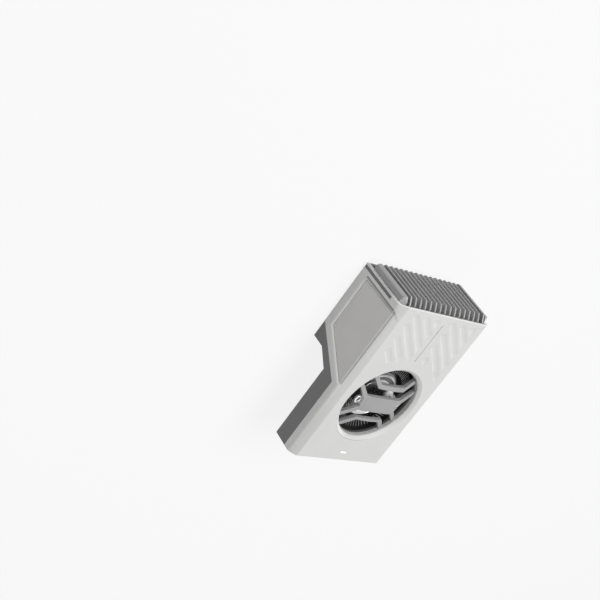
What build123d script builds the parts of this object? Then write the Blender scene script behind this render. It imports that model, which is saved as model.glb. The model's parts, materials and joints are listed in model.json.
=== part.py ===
import os
from math import cos, pi, radians, sin, sqrt

from build123d import *

os.makedirs("parts", exist_ok=True)

# All sizes are in millimetres.
# X runs across the cooler, Y from the plain end to the fin end, Z from the phone to the back face.
# The origin is the middle of the bounding box in X and Y and the face of the thermal pad in Z.

# Overall form
length = 81.6
half_width = 26.7
back_z = 28.0
rim_z = 0.8
wall = 1.5
low_end = -length / 2
fin_tip_y = length / 2
shell_end_y = fin_tip_y - 2.6
side_end_y = shell_end_y - 1.05
bevel_width = 3.4
bevel_drop = 2.75
bevel_round = 2.0
end_round = 0.5
inner_top_z = back_z - wall
inner_x = half_width - wall
inner_bevel_width = bevel_width - 0.9
inner_bevel_drop = bevel_drop - 0.85
sides = (-1, 1)

# The split between the light shell and the dark tray, seen from the side
thick_length = 38.9
step_y = shell_end_y - thick_length
split_z = back_z - 5.8
split_corner_y = step_y - 5.3
split_foot_y = step_y + 7.8
seat_z = back_z - 13.0
seat_end_y = step_y - 5.1
step_top_z = seat_z - 7.6
seat_floor = 1.3
deep_floor = 1.5
floor_top_z = rim_z + deep_floor

# Air intake in the back face
board_room = 11.5
mouth_radius = half_width - 7.2
fan_y = low_end + board_room + mouth_radius
throat_radius = mouth_radius - 1.45
mouth_depth = 1.3
collar_depth = 2.8
collar_radius = mouth_radius + 2.0
collar_bottom_z = back_z - collar_depth

# Guard, a flat-topped dome of three bars on a ring, with the bars a little to one side
guard_top_z = back_z - 0.25
guard_flat_share = 0.45
guard_edge_z = guard_top_z - 1.95
guard_thickness = 1.8
dome_sides = 16
dome_overrun = 0.5
guard_shift = 0.6
guard_gap = 0.15
guard_ring_height = 1.4
guard_ring_radius = throat_radius + 2.45
guard_ring_inner = throat_radius - 0.3
guard_radius = throat_radius - guard_gap
ring_bottom_z = collar_bottom_z - guard_ring_height

# Right half of each bar's outline from the fan axis, in shares of the throat radius
upper_bar = [(0.41, 0.435), (0.85, 0.837), (0.81, 0.94), (0.385, 0.543)]
middle_plate = [(0.526, -0.222), (0.98, -0.618), (1.02, -0.518), (0.576, -0.139)]
middle_plate += [(0.626, 0.111), (1.02, 0.516), (0.99, 0.598), (0.554, 0.194)]
lower_bar = [(0.355, -0.507), (0.78, -0.903), (0.88, -0.86), (0.421, -0.432)]

# Motor plate and the lugs it hangs from
blade_outer_radius = throat_radius - 0.95
blade_inner_radius = blade_outer_radius - 3.8
lug_x = blade_inner_radius - 2.4
lug_radius = 2.05
lug_top_z = guard_edge_z + 0.1
lug_bore = 0.85
neck_width = 3.0
neck_height = 1.6
motor_plate_radius = blade_inner_radius - 2.4
motor_plate_top_z = back_z - 6.1
motor_plate_thickness = 1.0
motor_rim_width = 0.6
motor_rim_drop = 0.45
motor_screw_radius = 0.8
motor_head = (1.5, 0.5)
motor_head_gap = 0.1
tube_radius = 2.55
sleeve_radius = 1.8
shaft_radius = 1.0
running_clearance = 0.03

# Impeller
blade_count = 72
blade_thickness = 0.35
blade_lean = 28.0
blade_top_z = motor_plate_top_z + 0.2
disc_thickness = 0.6
disc_top_z = blade_top_z - 4.1
disc_bottom_z = disc_top_z - disc_thickness
cup_radius = blade_inner_radius - 1.7
cup_wall = 1.0
cup_top_z = motor_plate_top_z - 1.3
magnet_wall = 1.1

# Stator
stator_radius = cup_radius - cup_wall - magnet_wall - 0.5
stator_top_z = motor_plate_top_z - 1.7
stator_height = 1.3
hub_ring_radius = tube_radius + 1.55
coil_overhang = 0.45
coil_width = 3.1
coil_share = 0.8
tooth_count = 6
tooth_width = 1.5
shoe_depth = 0.9
slot_width = 2.2

# Blower housing
housing_radius = mouth_radius + 0.5
housing_wall = 1.0
housing_floor = 0.7
housing_top = 1.0
housing_bottom_z = seat_z + seat_floor
inlet_radius = throat_radius + 0.25
outlet_y = fan_y + housing_radius + 2.8
ear_reach = 2.05786
ear_offset = housing_radius / sqrt(2) + ear_reach
ear_radius = 2.3
ear_height = 1.2

# Heat sink
fin_count = 16
fin_thickness = 0.8
fin_foot_z = rim_z + 3.6
fin_foot_round = 1.2
fin_top_z = inner_top_z - 0.15
fin_bend_z = back_z - 3.5
fin_start_y = outlet_y + 2.0
front_web_y = fin_tip_y - 4.0
web_thickness = 0.6
sink_z = (rim_z + 6.3, rim_z + 8.8)
sink_start_y = step_y + 6.6
sink_half_width = half_width - 2.1
cheek_inner_x = half_width - 3.3
cheek_outer_x = half_width - 1.65
cheek_flush_x = half_width - 1.0
cheek_gap = 0.1
cheek_front_y = fin_tip_y - 0.6
cheek_depth = 8.0
fin_pitch = 2 * (cheek_inner_x - 1.45) / (fin_count - 1)

# Cooling stack
peltier_half = 12.5
plate_margin = 0.8
stack_inset = 3.9
plate_step = (half_width - 8.7, peltier_half + plate_margin)
stack_y = shell_end_y - stack_inset - plate_step[1]
plate_gap = 0.2
plate_round = 1.0
flange = (plate_step[0] + 1.5, plate_step[1] + 1.5)
flange_top_z = floor_top_z + 1.2
pad_half = (plate_step[0] - 0.5, plate_step[1] - 0.5)
pad_thickness = 0.6
ceramic = 0.7
pellet_rows = 5
pellet_size = 1.6
pellet_pitch = 4.8
foam_half = (flange[0] - 0.5, flange[1] - 0.5)
foam_gap = 0.3

# Fastenings, whose small round forms are turned into prisms with few faces
peg_sides = 8
case_screw_radius = 0.9
clear_radius = 1.2
pilot_radius = 0.98
fine_screw_radius = 0.7
fine_pilot_radius = 0.8
screw_head = (1.75, 1.0)
fine_head = (1.5, 0.9)
recess_radius = 1.95
recess_depth = 1.3
case_screw_reach = 7.2
low_boss = (half_width - 5.1, low_end + 4.4)
deep_boss = (half_width - 4.3, sink_start_y - 2.7)
low_boss_height = 3.0
deep_boss_height = 3.8
boss_radius = 2.3
sink_post_x = half_width - 4.3
sink_post_y = (stack_y - 11.0, stack_y + 12.0)
board_post = (14.0, low_end + 5.4)
board_post_radius = 1.9
seat_hole_x = half_width - 3.7
seat_hole_y = (low_end + 11.8, seat_end_y - 4.0)
seat_hole_radius = 1.05
seat_hole_depth = 4.5
seat_boss_height = 5.5

# Board, socket and status window
board_top_z = back_z - 5.4
board_thickness = 1.0
board_bottom_z = board_top_z - board_thickness
board_half_width = 17.0
board_y = (low_end + 1.8, low_end + 9.2)
driver_chip = (-7.25, low_end + 6.0, 4.5, 3.6, 0.9)
choke = (6.8, low_end + 5.7, 4.4, 3.8, 1.8)
socket_half = (4.47, 1.6)
socket_length = 7.3
socket_wall = 0.3
socket_inset = 0.2
tongue_half = (3.35, 0.35)
socket_z = board_bottom_z - socket_half[1]
window_y = low_end + 4.4
window_half = (1.5, 0.4)
pipe_gap = 0.05
pipe_lip = 0.8
pipe_bottom_z = board_top_z + 0.6

# Side inserts
panel_head_y = side_end_y - 3.9
panel_foot = (panel_head_y - 0.5, rim_z + 4.4)
panel_toe = (split_foot_y + 1.6, rim_z + 4.4)
panel_tail = (split_corner_y + 2.1, back_z - 3.1)
panel_outline = [panel_foot, panel_toe, panel_tail, (panel_head_y, panel_tail[1])]
pocket_depth = 1.0
pocket_flare = 1.1
panel_thickness = 0.5
panel_gap = 0.06
panel_groove = 0.85
strip_y = (side_end_y - 2.0, side_end_y - 0.7)
strip_top_z = back_z - 7.4
strip_depth = 0.8
strip_set_back = 0.15

# Slanted louvres on the back face, counted from the fin end
louvre_count = 6
louvre_pitch = 6.22
louvre_width = 3.2
louvre_depth = 0.75
louvre_fade = 1.8
fade_lift = 0.02
left_field = (3.7 - mouth_radius - 3.9, -2.7)
right_field = (3.0, mouth_radius - 0.7)
left_start = -5.8
right_start = 16.0
field_top_y = shell_end_y - 4.2
field_radius = mouth_radius + 3.7
groove_half = 0.18
groove_depth = 0.3
groove_start = 4.7
centre_groove = (fan_y + mouth_radius + groove_start, field_top_y - 0.4)


def box_between(low, high, mode=Mode.ADD):
    """A box between two opposite corners."""
    middle = [(a + b) / 2 for a, b in zip(low, high)]
    size = [b - a for a, b in zip(low, high)]
    with Locations(tuple(middle)):
        Box(size[0], size[1], size[2], mode=mode)


def block(sign, x_pair, y_pair, z_pair, mode=Mode.ADD):
    """A box on one side of the cooler between two distances from the middle."""
    low_x, high_x = sorted(sign * x for x in x_pair)
    box_between((low_x, y_pair[0], z_pair[0]), (high_x, y_pair[1], z_pair[1]), mode)


def post(x, y, bottom, top, radius, mode=Mode.ADD):
    """An upright cylinder between two heights."""
    with Locations((x, y, (bottom + top) / 2)):
        Cylinder(radius, top - bottom, mode=mode)


def peg(x, y, bottom, top, radius, mode=Mode.ADD):
    """A small upright boss, hole or shank with few faces between two heights."""
    with BuildSketch(Plane.XY.offset(bottom)) as profile:
        with Locations((x, y)):
            RegularPolygon(radius, peg_sides)
    extrude(profile.sketch, amount=top - bottom, mode=mode)


def flat_face(plane, outline):
    """A flat face from a closed outline on a plane."""
    with BuildSketch(plane) as profile:
        with BuildLine():
            Polyline(*outline, close=True)
        make_face()
    return profile.sketch.face()


def prism(plane, outline, amount, mode=Mode.ADD):
    """A straight prism from a closed outline on a plane."""
    extrude(flat_face(plane, outline), amount=amount, mode=mode)


def side_prism(outline, low_x, high_x, mode=Mode.ADD):
    """A prism across the cooler from an outline in Y and Z."""
    prism(Plane.YZ.offset(low_x), outline, high_x - low_x, mode)


def end_prism(outline, low_y, high_y, mode=Mode.ADD):
    """A prism along the cooler from an outline in X and Z."""
    prism(Plane.XZ.offset(-high_y), outline, high_y - low_y, mode)


def flat_prism(outline, low_z, high_z, mode=Mode.ADD):
    """An upright prism from an outline in X and Y."""
    prism(Plane.XY.offset(low_z), outline, high_z - low_z, mode)


def flat_sided(outlines):
    """A closed solid from the outlines of its flat sides."""
    return Solid(Shell([Face(Wire.make_polygon(outline)) for outline in outlines]))


def dome_corners(radius, z):
    """The corners of a level many-sided outline about the fan axis with sides at a radius."""
    reach = radius / cos(pi / dome_sides)
    turns = [(2 * number + 1) * pi / dome_sides for number in range(dome_sides)]
    return [(reach * cos(turn), fan_y + reach * sin(turn), z) for turn in turns]


def turned(outline, mode=Mode.ADD):
    """A solid turned about the fan axis from an outline of radius and height."""
    profile = flat_face(Plane.XZ.offset(-fan_y), outline)
    revolve(profile, axis=Axis((0, fan_y, 0), (0, 0, 1)), mode=mode)


def turned_band(inner, outer, bottom, top, mode=Mode.ADD):
    """A plain ring about the fan axis."""
    turned([(inner, bottom), (outer, bottom), (outer, top), (inner, top)], mode)


def housing_section(half, top, width, drop):
    """The outline across X and Z with both back corners bevelled."""
    return [
        (-half, rim_z - wall),
        (half, rim_z - wall),
        (half, top - drop),
        (half - width, top),
        (width - half, top),
        (-half, top - drop),
    ]


def pocket_outline(flare):
    """The side pocket in Y and Z, wider by a flare on its phone side and its slanted side."""
    (foot_y, foot_z), (toe_y, _), (tail_y, tail_z), (head_y, _) = panel_outline
    slope = (tail_z - foot_z) / (toe_y - tail_y)
    slant = flare * sqrt(1 + slope**2) / slope
    return [
        (foot_y, foot_z - flare),
        (toe_y - slant + flare / slope, foot_z - flare),
        (tail_y - slant, tail_z),
        (tail_y - slant, back_z + 1),
        (head_y, back_z + 1),
        (head_y, tail_z),
    ]


def louvre_run(total, field):
    """Both ends of a slanted louvre between its field sides, field top and the intake."""
    start_x = max(field[0], total - field_top_y)
    end_x = field[1]
    across = total - fan_y
    reach = 2 * field_radius**2 - across**2
    if reach > 0:
        crossing = (across - sqrt(reach)) / 2
        if crossing > start_x:
            end_x = min(end_x, crossing)
    return start_x, end_x


def screw(x, y, seat, tip, radius, head):
    """A plain screw with a flat head behind its seat."""
    head_radius, head_height = head
    face = seat - head_height if tip > seat else seat + head_height
    peg(x, y, min(seat, face), max(seat, face), head_radius)
    peg(x, y, min(seat, tip), max(seat, tip), radius)


# Light shell
shell_side = [
    (low_end, split_z),
    (low_end, back_z),
    (shell_end_y, back_z),
    (side_end_y, back_z - bevel_drop),
    (side_end_y, rim_z),
    (split_foot_y, rim_z),
    (split_corner_y, split_z),
]
with BuildPart() as back_shell:
    side_prism(shell_side, -half_width, half_width)
    shell_section = housing_section(half_width, back_z, bevel_width, bevel_drop)
    end_prism(shell_section, low_end - 1, fin_tip_y, Mode.INTERSECT)
    corner_edges = (
        back_shell.edges()
        .filter_by(Axis.Y)
        .filter_by(lambda e: abs(abs(e.center().X) - half_width) < 0.01)
        .filter_by(lambda e: abs(e.center().Z - back_z + bevel_drop) < 0.01)
    )
    fillet(corner_edges, radius=bevel_round)
    end_edges = (
        back_shell.edges()
        .filter_by(lambda e: abs(e.center().Y - low_end) < 0.01)
        .filter_by(lambda e: abs(e.center().Z - back_z) < 0.01)
    )
    fillet(end_edges, radius=end_round)
    cavity_section = housing_section(inner_x, inner_top_z, inner_bevel_width, inner_bevel_drop)
    end_prism(cavity_section, low_end + wall, fin_tip_y + 5, Mode.SUBTRACT)
    post(0, fan_y, collar_bottom_z, inner_top_z + 0.2, collar_radius)
    for sign in sides:
        peg(sign * low_boss[0], low_boss[1], seat_z + low_boss_height, inner_top_z + 0.1, boss_radius)
        peg(sign * deep_boss[0], deep_boss[1], rim_z + deep_boss_height, inner_top_z + 0.1, boss_radius)
        peg(sign * board_post[0], board_post[1], board_top_z, inner_top_z + 0.1, board_post_radius)
        block(
            sign,
            (deep_boss[0] + 1.5, inner_x + 0.2),
            (deep_boss[1] - 0.5, deep_boss[1] + 0.5),
            (seat_z - 7.0, back_z - 4.0),
        )
    turned(
        [
            (0, collar_bottom_z - 1),
            (throat_radius, collar_bottom_z - 1),
            (throat_radius, back_z - mouth_depth),
            (mouth_radius, back_z),
            (mouth_radius, back_z + 1),
            (0, back_z + 1),
        ],
        Mode.SUBTRACT,
    )
    for sign in sides:
        for x, y, low_z, high_z, radius in (
            (*low_boss, seat_z + 2, seat_z + 9.0, pilot_radius),
            (*deep_boss, rim_z + 2, rim_z + 12.2, pilot_radius),
            (*board_post, board_top_z - 1, board_top_z + 3.2, fine_pilot_radius),
        ):
            peg(sign * x, y, low_z, high_z, radius, Mode.SUBTRACT)
        with BuildPart(mode=Mode.PRIVATE) as pocket:
            floor_x = half_width - pocket_depth
            sill_x = floor_x + panel_thickness
            side_prism(pocket_outline(0), floor_x, half_width + 1)
            sill = flat_face(Plane.YZ.offset(sill_x), pocket_outline(0))
            lip_x = half_width + pocket_depth - panel_thickness
            lip = flat_face(Plane.YZ.offset(lip_x), pocket_outline(2 * pocket_flare))
            loft([sill, lip], ruled=True)
        add(pocket.part if sign > 0 else pocket.part.mirror(Plane.YZ), mode=Mode.SUBTRACT)
        block(
            sign,
            (half_width - strip_depth, half_width + 1),
            strip_y,
            (rim_z - 1, strip_top_z),
            Mode.SUBTRACT,
        )
    for start, field in ((left_start, left_field), (right_start, right_field)):
        for number in range(louvre_count):
            total = field_top_y + start - number * louvre_pitch
            start_x, end_x = louvre_run(total, field)
            if end_x < start_x + 1:
                continue
            louvre_plane = Plane(
                origin=(start_x, total - start_x, back_z), x_dir=(1, 1, 0), z_dir=(1, -1, 0)
            )
            cut = [(0, 0.3), (0, -louvre_depth), (louvre_width, 0), (louvre_width, 0.3)]
            run = (end_x - start_x) * sqrt(2)
            full_run = run - louvre_fade
            prism(louvre_plane, cut, full_run, Mode.SUBTRACT)
            base = [louvre_plane.from_local_coords((u, v, full_run)) for u, v in cut]
            tip = louvre_plane.from_local_coords((0, fade_lift, run))
            fade_sides = [(base[n - 1], base[n], tip) for n in range(len(base))]
            add(flat_sided([base, *fade_sides]), mode=Mode.SUBTRACT)
    box_between(
        (-groove_half, centre_groove[0], back_z - groove_depth),
        (groove_half, centre_groove[1], back_z + 1),
        Mode.SUBTRACT,
    )
    box_between(
        (-window_half[0], window_y - window_half[1], inner_top_z - 1),
        (window_half[0], window_y + window_half[1], back_z + 1),
        Mode.SUBTRACT,
    )
back_shell.part.label = "back_shell"
export_step(back_shell.part, "parts/back_shell.step")

# Dark tray under the shell
tray_side = [
    (low_end, split_z),
    (split_corner_y, split_z),
    (split_foot_y, rim_z),
    (step_y, rim_z),
    (step_y, step_top_z),
    (seat_end_y, seat_z),
    (low_end, seat_z),
]
tray_cavity = [
    (low_end + wall, back_z),
    (low_end + wall, housing_bottom_z),
    (seat_end_y + 0.7, housing_bottom_z),
    (step_y + deep_floor, step_top_z + 0.5),
    (step_y + deep_floor, floor_top_z),
    (fin_tip_y, floor_top_z),
    (fin_tip_y, back_z),
]
with BuildPart() as base_tray:
    side_prism(tray_side, -half_width, half_width)
    side_prism(tray_cavity, -inner_x, inner_x, Mode.SUBTRACT)
    box_between((-inner_x, step_y, rim_z), (inner_x, side_end_y, floor_top_z))
    for sign in sides:
        peg(sign * low_boss[0], low_boss[1], seat_z, seat_z + low_boss_height, boss_radius + 0.3)
        peg(sign * deep_boss[0], deep_boss[1], rim_z, rim_z + deep_boss_height, boss_radius)
        peg(sign * ear_offset, fan_y - ear_offset, seat_z, ring_bottom_z - ear_height, 2.0)
        for y in seat_hole_y:
            peg(sign * seat_hole_x, y, seat_z, seat_z + seat_boss_height, boss_radius)
        for y in sink_post_y:
            peg(sign * sink_post_x, y, rim_z, sink_z[0], boss_radius)
        for x, y, low_z, high_z, radius in (
            (*low_boss, seat_z - 1, seat_z + 4, clear_radius),
            (*low_boss, seat_z - 1, seat_z + recess_depth, recess_radius),
            (*deep_boss, rim_z - 1, rim_z + 4, clear_radius),
            (*deep_boss, rim_z - 1, rim_z + recess_depth, recess_radius),
            (ear_offset, fan_y - ear_offset, seat_z + 1.2, ring_bottom_z, fine_pilot_radius),
        ):
            peg(sign * x, y, low_z, high_z, radius, Mode.SUBTRACT)
        for y in seat_hole_y:
            post(
                sign * seat_hole_x, y, seat_z - 1, seat_z + seat_hole_depth, seat_hole_radius,
                Mode.SUBTRACT,
            )
        for y in sink_post_y:
            peg(sign * sink_post_x, y, rim_z - 1, sink_z[0] + 1, clear_radius, Mode.SUBTRACT)
            peg(sign * sink_post_x, y, rim_z - 1, rim_z + recess_depth, recess_radius, Mode.SUBTRACT)
    box_between(
        (-plate_step[0] - plate_gap, stack_y - plate_step[1] - plate_gap, rim_z - 1),
        (plate_step[0] + plate_gap, stack_y + plate_step[1] + plate_gap, floor_top_z + 1),
        Mode.SUBTRACT,
    )
    with BuildSketch(Plane.XZ.offset(-low_end - wall - 0.5)) as socket_hole:
        with Locations((0, socket_z)):
            SlotOverall(2 * socket_half[0] + 0.3, 2 * socket_half[1] + 0.3)
    extrude(socket_hole.sketch, amount=wall + 1, mode=Mode.SUBTRACT)
base_tray.part.label = "base_tray"
export_step(base_tray.part, "parts/base_tray.step")

# Side panels that fill the pockets, with a groove left at their fin side
panel_toe_gap = panel_gap * 1.8
panel_plan = [
    (panel_foot[0] - panel_groove, panel_foot[1] + panel_gap),
    (panel_toe[0] + panel_gap / 2, panel_toe[1] + panel_gap),
    (panel_tail[0] + panel_toe_gap, panel_tail[1] + 0.4),
    (panel_head_y - panel_groove, panel_tail[1] + 0.4),
]
for side_name, sign in (("left", -1), ("right", 1)):
    panel_x = sorted(sign * (half_width - pocket_depth + d) for d in (0, panel_thickness))
    with BuildPart() as side_panel:
        side_prism(panel_plan, panel_x[0], panel_x[1])
        outer_face = side_panel.faces().sort_by(Axis.X)[-1 if sign > 0 else 0]
        chamfer(outer_face.edges(), length=0.2)
    side_panel.part.label = "side_panel_" + side_name
    export_step(side_panel.part, "parts/side_panel_" + side_name + ".step")

    with BuildPart() as side_strip:
        strip_x = (half_width - strip_depth, half_width - strip_set_back)
        block(sign, strip_x, strip_y, (rim_z, strip_top_z))
    side_strip.part.label = "side_strip_" + side_name
    export_step(side_strip.part, "parts/side_strip_" + side_name + ".step")

# Heat sink with cheeks beside the fins
with BuildPart() as heat_sink:
    box_between(
        (-sink_half_width, sink_start_y, sink_z[0]),
        (sink_half_width, front_web_y + 0.4, sink_z[1]),
    )
    first_fin = -(fin_count - 1) / 2 * fin_pitch
    fin_outline = [
        (fin_start_y, sink_z[1] - 0.5),
        (front_web_y - web_thickness, sink_z[1] - 0.5),
        (front_web_y - web_thickness, fin_foot_z),
        (fin_tip_y - fin_foot_round, fin_foot_z),
        (fin_tip_y, fin_foot_z + 1.0),
        (fin_tip_y, fin_bend_z),
        (shell_end_y, fin_top_z),
        (fin_start_y, fin_top_z),
    ]
    for number in range(fin_count):
        fin_x = first_fin + number * fin_pitch
        side_prism(fin_outline, fin_x - fin_thickness / 2, fin_x + fin_thickness / 2)
    for sign in sides:
        for start_y, low_z, high_z in (
            (front_web_y - web_thickness, fin_foot_z, sink_z[0] + 0.1),
            (shell_end_y - cheek_depth, sink_z[0], fin_top_z),
        ):
            cheek_plan = [
                (sign * cheek_inner_x, start_y),
                (sign * cheek_inner_x, cheek_front_y),
                (sign * (cheek_flush_x - 1.1), cheek_front_y - 0.15),
                (sign * (cheek_flush_x - 0.35), cheek_front_y - 0.7),
                (sign * cheek_flush_x, cheek_front_y - 1.6),
                (sign * cheek_flush_x, side_end_y + cheek_gap),
                (sign * cheek_outer_x, side_end_y + cheek_gap),
                (sign * cheek_outer_x, start_y),
            ]
            flat_prism(cheek_plan, low_z, high_z)
    slope = (fin_top_z - fin_bend_z) / (fin_tip_y - shell_end_y)
    chamfer_cut = [
        (fin_tip_y + 2.4, fin_bend_z - 3 * slope),
        (fin_tip_y - 0.6, fin_bend_z),
        (shell_end_y - 0.6, fin_top_z),
        (shell_end_y - 0.6, fin_top_z + 3),
        (fin_tip_y + 2.4, fin_top_z + 3),
    ]
    for sign in sides:
        cut_x = sorted((sign * (cheek_inner_x - 0.5), sign * (cheek_outer_x + 1)))
        side_prism(chamfer_cut, cut_x[0], cut_x[1], Mode.SUBTRACT)
        bevel_foot_z = inner_top_z - inner_bevel_drop - 0.2
        bevel_cut = [
            (sign * (inner_x + 1), bevel_foot_z - inner_bevel_drop / inner_bevel_width),
            (sign * (inner_x + 1), inner_top_z + 2),
            (sign * (inner_x - inner_bevel_width), inner_top_z + 2),
            (sign * (inner_x - inner_bevel_width), inner_top_z - 0.2),
        ]
        end_prism(bevel_cut, fin_start_y - 5, fin_tip_y + 3, Mode.SUBTRACT)
        for y in sink_post_y:
            peg(sign * sink_post_x, y, sink_z[0] - 1, sink_z[0] + 2.0, pilot_radius, Mode.SUBTRACT)
heat_sink.part.label = "heat_sink"
export_step(heat_sink.part, "parts/heat_sink.step")

# Guard with its ring, and the lugs that carry the motor plate
flat_radius = guard_flat_share * throat_radius
dome_slope = (guard_top_z - guard_edge_z) / (guard_radius - flat_radius)
dome_foot_z = guard_edge_z - dome_overrun * dome_slope
with BuildPart() as fan_guard:
    with BuildSketch(Plane.XY.offset(ring_bottom_z)) as bar_pattern:
        for half_bar in (upper_bar, middle_plate, lower_bar):
            outline = half_bar + [(-x, y) for x, y in reversed(half_bar)]
            with BuildLine():
                Polyline(
                    *[
                        (x * throat_radius + guard_shift, y * throat_radius + fan_y)
                        for x, y in outline
                    ],
                    close=True,
                )
            make_face()
    extrude(bar_pattern.sketch, amount=collar_depth + guard_ring_height)
    dome_sheets = [
        [
            dome_corners(flat_radius, guard_top_z - drop),
            dome_corners(guard_radius + dome_overrun, dome_foot_z - drop),
        ]
        for drop in (0, guard_thickness)
    ]
    dome_faces = [dome_sheets[0][0], dome_sheets[1][0]]
    for upper, lower in (*dome_sheets, (dome_sheets[0][1], dome_sheets[1][1])):
        for n in range(dome_sides):
            dome_faces.append((upper[n - 1], upper[n], lower[n], lower[n - 1]))
    add(flat_sided(dome_faces), mode=Mode.INTERSECT)
    post(0, fan_y, ring_bottom_z, back_z, guard_radius, Mode.INTERSECT)
    turned_band(guard_ring_inner, guard_ring_radius, ring_bottom_z, collar_bottom_z)
    for sign in sides:
        block(
            sign,
            (lug_x - lug_radius - 1.0, lug_x),
            (fan_y - neck_width / 2, fan_y + neck_width / 2),
            (lug_top_z - neck_height, lug_top_z - 0.2),
        )
        post(sign * lug_x, fan_y, motor_plate_top_z, lug_top_z, lug_radius)
        peg(sign * lug_x, fan_y, motor_plate_top_z - 1, back_z, lug_bore, Mode.SUBTRACT)
fan_guard.part.label = "fan_guard"
export_step(fan_guard.part, "parts/fan_guard.step")

# Motor plate that hangs from the guard, with its bearing tube
tube_bottom_z = disc_top_z + 0.4
plate_bottom_z = motor_plate_top_z - motor_plate_thickness
tube_top_z = motor_plate_top_z - 0.5
motor_head_z = plate_bottom_z + motor_head[1] + 0.05
with BuildPart() as motor_plate:
    turned(
        [
            (0, plate_bottom_z),
            (motor_plate_radius, plate_bottom_z),
            (motor_plate_radius, motor_plate_top_z - motor_rim_drop),
            (motor_plate_radius - motor_rim_width, motor_plate_top_z - motor_rim_drop),
            (motor_plate_radius - motor_rim_width, motor_plate_top_z),
            (0, motor_plate_top_z),
        ]
    )
    for sign in sides:
        post(sign * lug_x, fan_y, plate_bottom_z, motor_plate_top_z, lug_radius)
    post(0, fan_y, tube_bottom_z, plate_bottom_z + 0.1, tube_radius)
    post(0, fan_y, tube_bottom_z - 1, tube_top_z, sleeve_radius, Mode.SUBTRACT)
    for sign in sides:
        peg(
            sign * lug_x, fan_y, plate_bottom_z - 1, motor_head_z,
            motor_head[0] + motor_head_gap, Mode.SUBTRACT,
        )
        peg(sign * lug_x, fan_y, plate_bottom_z, motor_plate_top_z + 1, lug_bore, Mode.SUBTRACT)
motor_plate.part.label = "motor_plate"
export_step(motor_plate.part, "parts/motor_plate.step")

with BuildPart() as motor_screws:
    for sign in sides:
        screw(
            sign * lug_x, fan_y, motor_head_z, lug_top_z - 0.9, motor_screw_radius - 0.05, motor_head
        )
motor_screws.part.label = "motor_screws"
export_step(motor_screws.part, "parts/motor_screws.step")

with BuildPart() as bearing_sleeve:
    post(0, fan_y, tube_bottom_z, tube_top_z - 0.1, sleeve_radius)
    post(0, fan_y, tube_bottom_z - 1, tube_top_z, shaft_radius + running_clearance, Mode.SUBTRACT)
bearing_sleeve.part.label = "bearing_sleeve"
export_step(bearing_sleeve.part, "parts/bearing_sleeve.step")

# Stator with teeth that end in wide shoes, and a coil round each tooth
stator_bottom_z = stator_top_z - stator_height
stator_middle_z = (stator_top_z + stator_bottom_z) / 2
tooth_start = hub_ring_radius - 0.2
tooth_end = stator_radius - 0.1
coil_room = stator_radius - shoe_depth - hub_ring_radius
coil_length = coil_share * coil_room
coil_middle = hub_ring_radius + coil_room / 2
with BuildPart() as stator_core:
    turned_band(tube_radius, hub_ring_radius, stator_bottom_z, stator_top_z)
    with Locations((0, fan_y, stator_middle_z)):
        with PolarLocations((tooth_start + tooth_end) / 2, tooth_count):
            Box(tooth_end - tooth_start, tooth_width, stator_height)
    with BuildPart(mode=Mode.PRIVATE) as shoes:
        turned_band(stator_radius - shoe_depth, stator_radius, stator_bottom_z, stator_top_z)
        with Locations((0, fan_y, stator_middle_z)):
            with PolarLocations(stator_radius, tooth_count, start_angle=180 / tooth_count):
                Box(4.0, slot_width, stator_height + 1, mode=Mode.SUBTRACT)
    add(shoes.part)
stator_core.part.label = "stator_core"
export_step(stator_core.part, "parts/stator_core.step")

with BuildPart() as coils:
    with Locations((0, fan_y, stator_middle_z)):
        with PolarLocations(coil_middle, tooth_count):
            Box(coil_length, coil_width, stator_height + 2 * coil_overhang)
        with PolarLocations(coil_middle, tooth_count):
            Box(coil_length + 1, tooth_width, stator_height, mode=Mode.SUBTRACT)
coils.part.label = "coils"
export_step(coils.part, "parts/coils.step")

# Impeller with its hub disc, magnet cup and thin slanted blades
lean = radians(blade_lean)
blade_run = (
    sqrt(blade_outer_radius**2 - (blade_inner_radius * sin(lean)) ** 2)
    - blade_inner_radius * cos(lean)
    - 0.1
)
half_blade = blade_thickness / 2
blade_plan = ((0, -half_blade), (blade_run, -half_blade), (blade_run, half_blade), (0, half_blade))
with BuildPart() as impeller:
    turned_band(shaft_radius, blade_outer_radius, disc_bottom_z, disc_top_z)
    turned_band(cup_radius - cup_wall, cup_radius, disc_top_z - 0.1, cup_top_z)
    with BuildSketch(Plane.XY.offset(disc_top_z - 0.1)) as blade_ring:
        for number in range(blade_count):
            turn = radians(360 / blade_count * number)
            start_x = blade_inner_radius * cos(turn)
            start_y = fan_y + blade_inner_radius * sin(turn)
            along = (cos(turn + lean), sin(turn + lean))
            corners = [
                (start_x + along[0] * u - along[1] * v, start_y + along[1] * u + along[0] * v)
                for u, v in blade_plan
            ]
            with BuildLine():
                Polyline(*corners, close=True)
            make_face()
    extrude(blade_ring.sketch, amount=blade_top_z - disc_top_z + 0.1)
impeller.part.label = "impeller"
export_step(impeller.part, "parts/impeller.step")

magnet_outer = cup_radius - cup_wall
with BuildPart() as magnet_ring:
    turned_band(magnet_outer - magnet_wall, magnet_outer, disc_top_z, cup_top_z - 0.2)
magnet_ring.part.label = "magnet_ring"
export_step(magnet_ring.part, "parts/magnet_ring.step")

with BuildPart() as shaft:
    post(0, fan_y, disc_bottom_z, tube_top_z - 0.15, shaft_radius)
shaft.part.label = "shaft"
export_step(shaft.part, "parts/shaft.step")

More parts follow.
